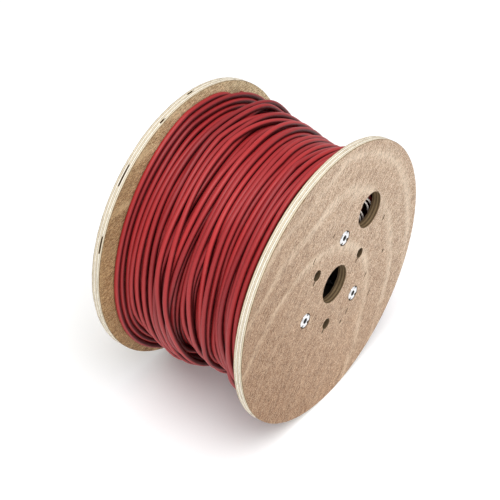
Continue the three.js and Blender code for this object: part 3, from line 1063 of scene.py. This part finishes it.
def make_staple(route, zinc):
    """A wire staple over the outer end, its legs in the far flange."""
    angle = math.radians(STAPLE_ANGLE)
    radial = np.array([math.cos(angle), 0, math.sin(angle)])
    axial = np.array([0, 1.0, 0])
    held = STAPLE_ANGLE - OUTER_END_FROM
    centre, _ = curve_points(*(part[held : held + 1] for part in route))
    half = CABLE_RADIUS + 0.0003 + STAPLE_WIRE
    leg = FLANGE_THICKNESS * 0.55 + CABLE_RADIUS
    bend = [(-half, -half + 0.002), (-half + 0.0007, -half + 0.0007), (-half + 0.002, -half)]
    outline = [(-half, leg), (-half, 0), *bend]
    outline += [(-r, a) for r, a in outline[::-1]]
    points = np.array([centre[0] + r * radial + a * axial for r, a in outline])
    steps = np.linspace(0, len(points) - 1, 60)
    line = np.stack([np.interp(steps, np.arange(len(points)), points[:, i]) for i in range(3)], -1)
    reference = np.repeat(np.cross(radial, axial)[None], len(line), axis=0)
    look = ([zinc], "outer_end_staple", "zinc_steel", 0, (True, True))
    tube("staple", line, reference, STAPLE_WIRE, 12, *look)


# ---- bolts, washers, T-nuts and the barrel tube --------------------------------------------------

HEAD_HEIGHT = 0.004
HEAD_RADIUS = 0.0050
WASHER_RADIUS = 0.0120
WASHER_EDGE = 0.0003


def disc_outline(columns, radius, notch_radius, half_notch, first):
    """A disc's outline with four straight-sided notches, as a radius for each column."""
    angle = round_circle(columns)
    outline = np.full(columns, radius)
    for i in range(4):
        middle = math.radians(first + 90 * i)
        across = np.abs(np.sin(angle - middle)) * radius
        inside = (across < half_notch) & (np.cos(angle - middle) > 0)
        depth = np.clip((half_notch - across) / 0.0004, 0, 1)
        outline = np.where(inside, radius - (radius - notch_radius) * depth, outline)
    return outline


def screw_thread(columns, radius, pitch, depth, heights):
    """A thread as a radius for each height and column."""
    turn = np.linspace(0, 1, columns, endpoint=False)[None, :]
    phase = (np.asarray(heights)[:, None] / pitch + turn) % 1
    return radius - depth * np.abs(2 * phase - 1)


def make_t_nut(index, place, zinc, thread_shade):
    """A stamped disc with a rolled lip, a threaded barrel and four prongs in the wood."""
    columns = 128
    top = OUTER_FACE - 0.0001
    outline = disc_outline(columns, T_NUT_RADIUS, 0.0061, 0.0024, 45)
    thread_heights = np.linspace(top - 0.0088, top - 0.0010, 40)
    thread = screw_thread(columns, 0.0031, 0.0010, 0.00045, thread_heights)
    rows = [
        (0.0034, top - 0.0005),
        (0.0038, top - 0.0001),
        (0.0044, top),
        (0.5 * (0.0044 + outline), top - 0.00005),
        (outline - 0.0006, top - 0.00005),
        (outline - 0.0002, top - 0.0002),
        (outline, top - 0.0006),
        (outline - 0.0001, top - 0.0012),
        (np.minimum(outline - 0.0006, 0.0058), top - 0.0013),
        (0.0038, top - 0.0014),
        (0.0038, top - 0.0090),
        (0.0032, top - 0.0090),
    ]
    radii, heights = profile(rows, columns)
    radii = np.concatenate([thread, radii])
    heights = np.concatenate([thread_heights, heights])
    node = f"t_nut_{index}"
    faces = ring_faces(len(radii), columns, closed=True)
    points = turned(radii, heights, place)
    blades, blade_faces = prongs(place, top, len(points))
    points = np.concatenate([points, blades])
    faces = faces[:, ::-1].tolist() + blade_faces
    kinds = np.zeros(len(faces), np.int32)
    # painted shade: the thread and the lip above it are near black
    kinds[: (len(thread) + 1) * columns] = 1
    make_piece(node + "_stamped", points, faces, [zinc, thread_shade], node, kinds, sharp=35)


def prongs(place, top, first):
    """Four pointed tabs, folded down from the inner ends of the notches."""
    points, faces = [], []
    for i in range(4):
        angle = math.radians(45 + 90 * i)
        out = np.array([math.cos(angle), math.sin(angle)])
        side = np.array([-out[1], out[0]])
        rows = [(0.0056, 0.0014, -0.0001), (0.0061, 0.0014, -0.0004), (0.0064, 0.0014, -0.0011)]
        rows += [(0.0064, 0.0013, -0.0035), (0.0063, 0.0003, -0.0063)]
        for reach, half, drop in rows:
            for inset, way in ((0, 1), (0, -1), (0.0010, -1), (0.0010, 1)):
                u, v = np.array(place) + (reach - inset) * out + way * half * side
                low = drop - (0.0004 if inset and drop > -0.002 else 0)
                points.append(to_world(u, v, top + low)[0])
        start = first + i * 4 * len(rows)
        faces += ring_faces(len(rows), 4, start).tolist()
        faces += [[start + k for k in (3, 2, 1, 0)]]
        faces += [[start + 4 * (len(rows) - 1) + k for k in range(4)]]
    return np.array(points), faces


def make_bolt(index, place, zinc, thread_shade):
    """A hexagon-head bolt from the far side: chamfered head, plain shank, threaded tip."""
    columns = 72
    low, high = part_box(f"tie_bolt_{index}")
    head_top, tip = MIDDLE_Y - high.y, MIDDLE_Y - low.y
    head_base = head_top + HEAD_HEIGHT
    angle = round_circle(columns)
    flat = HEAD_RADIUS * math.cos(math.radians(30)) / np.cos((angle + np.pi / 6) % (np.pi / 3) - np.pi / 6)
    thread_heights = np.linspace(tip - 0.030, tip - 0.0006, 150)
    thread = screw_thread(columns, 0.0030, 0.0010, 0.00035, thread_heights)
    rows = [
        (0.0040, head_top),
        (np.minimum(flat, 0.00455), head_top + 0.0001),
        (np.minimum(flat, HEAD_RADIUS), head_top + 0.0005),
        (flat, head_top + 0.0009),
        (flat, head_base - 0.0003),
        (np.minimum(flat, 0.0048), head_base),
        (0.0030, head_base),
        (0.0029, tip - 0.031),
    ]
    radii, heights = profile(rows, columns)
    radii = np.concatenate([radii, thread, np.full((1, columns), 0.0024)])
    heights = np.concatenate([heights, thread_heights, [tip]])
    node = f"tie_bolt_{index}"
    points = turned(radii, heights, place)
    faces = ring_faces(len(radii), columns).tolist()
    faces.append(list(range(columns)))
    faces.append(list(range(len(points) - columns, len(points)))[::-1])
    plain = len(rows) * columns
    # painted shade: the threaded tip and its end are near black
    kinds = [0] * plain + [1] * (len(faces) - 2 - plain) + [0, 1]
    make_piece(node + "_hex", points, faces, [zinc, thread_shade], node, kinds, sharp=38)


def make_washer(index, place, zinc):
    low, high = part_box(f"washer_{index}")
    far, near = MIDDLE_Y - high.y, MIDDLE_Y - low.y
    edge, radius = WASHER_EDGE, WASHER_RADIUS
    rows = [(0.0036, far), (radius - edge, far), (radius, far + edge), (radius, near - edge)]
    rows += [(radius - edge, near), (0.0036, near), (0.0033, near - edge), (0.0033, far + edge)]
    radii, heights = profile(rows, 72)
    points = turned(radii, heights, place)
    faces = ring_faces(len(rows), 72, closed=True).tolist()
    node = f"washer_{index}"
    make_piece(node + "_flat", points, faces, [zinc], node, sharp=35)


def make_barrel(kraft, inside):
    """A board tube with raised spiral seams, its ends seated in the flanges' grooves, and its inner
    surface near black as painted shade.
    """
    columns, end = 256, (barrel_high.y - barrel_low.y) / 2
    rows = 180
    heights = np.linspace(-end, end, rows)
    turn = np.linspace(0, 1, columns, endpoint=False)[None, :]
    seam = (heights[:, None] / BOARD_PITCH + turn) % 1
    ridge = 0.00015 * np.exp(-((np.minimum(seam, 1 - seam) / 0.012) ** 2))
    outer = BARREL_RADIUS - 0.0002 + ridge
    inner = np.full_like(outer, BARREL_RADIUS - 0.0055) - ridge
    radii = np.concatenate([outer, inner[::-1]])
    points = turned(radii, np.concatenate([heights, heights[::-1]]), (0, 0))
    faces = ring_faces(len(radii), columns, closed=True).tolist()
    kinds = [0] * (rows * columns) + [1] * ((rows - 1) * columns) + [0] * columns
    make_piece("barrel_board", points, faces, [kraft, inside], "barrel_tube", kinds, sharp=50)


# ---- setting -----------------------------------------------------------------------------------


FLOOR_DROP = 0.0002


def make_floor():
    """A pale floor that curves up far behind the drum."""
    mesh = bpy.data.meshes.new("floor")
    across = np.linspace(-12, 12, 25)
    rise = [(-12, 0.0), (9, 0.0), (10.5, 0.25), (11.6, 1.1), (12, 2.6), (12, 12)]
    points = [(x, y, z - FLOOR_DROP) for y, z in rise for x in across]
    n = len(across)
    faces = [
        (j * n + i, j * n + i + 1, (j + 1) * n + i + 1, (j + 1) * n + i)
        for j in range(len(rise) - 1)
        for i in range(n - 1)
    ]
    mesh.from_pydata(points, [], faces)
    mesh.shade_smooth()
    white = Shader("studio_floor")
    # painted light: the floor glows faintly, which lifts the shadows that fall on it
    glow = {"Emission_Color": (1.0, 1.0, 1.0), "Emission_Strength": 0.10}
    mesh.materials.append(white.finish(Base_Color=(0.93, 0.93, 0.93), Roughness=0.9, **glow))
    add_object("floor", mesh)


def add_light(name, place, size, power):
    data = bpy.data.lights.new(name, "AREA")
    data.shape = "DISK"
    data.size = size
    data.energy = power
    light = add_object(name, data)
    light.location = place
    light.rotation_mode = "QUATERNION"
    light.rotation_quaternion = (DRUM_CENTRE - light.location).to_track_quat("-Z", "Y")


def make_lights():
    world = bpy.data.worlds.new("studio")
    world.use_nodes = True
    background = world.node_tree.nodes["Background"]
    background.inputs["Color"].default_value = (0.96, 0.98, 1.0, 1)
    background.inputs["Strength"].default_value = 0.52
    bpy.context.scene.world = world
    add_light("overhead", (-0.8, -1.3, 4.2), 4.0, 172)
    add_light("left", (-3.2, -1.6, 1.2), 1.8, 14)
    add_light("front", (0.8, -3.4, 1.2), 1.8, 6)
    bpy.context.scene.view_settings.view_transform = "Standard"


# ---- camera ------------------------------------------------------------------------------------

CAMERA_AZIMUTH = math.radians(-53.44)
CAMERA_ELEVATION = math.radians(39.88)
CAMERA_DISTANCE = 8.9606 * FLANGE_RADIUS
CAMERA_LENS = 96.33
CAMERA_SHIFT = (-0.02018, -0.00234)


def make_camera():
    level = math.cos(CAMERA_ELEVATION)
    across, forward = math.sin(CAMERA_AZIMUTH) * level, -math.cos(CAMERA_AZIMUTH) * level
    back = Vector((across, forward, math.sin(CAMERA_ELEVATION)))
    data = bpy.data.cameras.new("camera")
    data.sensor_width = 36
    data.lens = CAMERA_LENS
    data.shift_x, data.shift_y = CAMERA_SHIFT
    camera = add_object("camera", data)
    camera.location = DRUM_CENTRE + back * CAMERA_DISTANCE
    camera.rotation_mode = "QUATERNION"
    camera.rotation_quaternion = (-back).to_track_quat("-Z", "Y")
    bpy.context.scene.camera = camera


# ---- everything in its place -------------------------------------------------------------------

near_veneer = veneer_material("veneer_near", 50, 0.70, 1.35, (1.02, 1.02, 0.99))
# painted light: the far flange's veneer is multiplied brighter, to make up for the shade on its inner face
far_veneer = veneer_material("veneer_far", 12, 1.10, 1.20, (1.28, 1.38, 1.12))
plies = [
    ply_material("ply_along", 50, PLY_PALE, PLY_TAN),
    ply_material("ply_across", 140, (0.78, 0.70, 0.54), (0.52, 0.41, 0.27)),
    glue_material(),
    # dark copies of the two plies: painted shade on hole walls, in recesses and in voids, and also the
    # dark cut edge of the face veneer and the wood under torn veneer
    ply_material("dark_along", 50, (0.26, 0.18, 0.09), (0.15, 0.10, 0.05)),
    ply_material("dark_across", 140, (0.13, 0.085, 0.040), (0.06, 0.036, 0.018)),
]
sheath = sheath_material()
zinc = metal_material("zinc_plate", (0.52, 0.53, 0.55), (0.80, 0.81, 0.82), 0.18)
# painted light: the T-nuts take a paler, less metallic copy of the zinc, so that they show white as if lit
zinc_painted_light = metal_material("zinc_painted_light", (0.66, 0.67, 0.69), (0.92, 0.92, 0.92), 0.22, 0.65)
# painted shade: the threads are near black, for the shade inside the T-nuts' holes
thread = metal_material("thread_painted_shade", (0.03, 0.03, 0.03), (0.10, 0.10, 0.10), 0.35)
copper = metal_material("bare_copper", (0.45, 0.18, 0.09), (0.72, 0.34, 0.19), 0.25)
core = core_material()

make_flanges([near_veneer, *plies], [far_veneer, *plies])
outer_end = make_winding(sheath)
make_inner_end(sheath, core, copper)
make_outer_end(outer_end, sheath, copper)
make_staple(outer_end, zinc)
make_barrel(
    kraft_material("kraft_board", (0.250, 0.150, 0.075), (0.450, 0.290, 0.160)),
    # painted shade: the tube's inside is a near-black copy of the board
    kraft_material("kraft_inside_painted_shade", (0.020, 0.013, 0.008), (0.045, 0.030, 0.018)),
)
for i, place in enumerate(BOLT_PLACES):
    make_t_nut(i + 1, place, zinc_painted_light, thread)
    make_bolt(i + 1, place, zinc, thread)
    make_washer(i + 1, place, zinc)
make_floor()
make_lights()
make_camera()
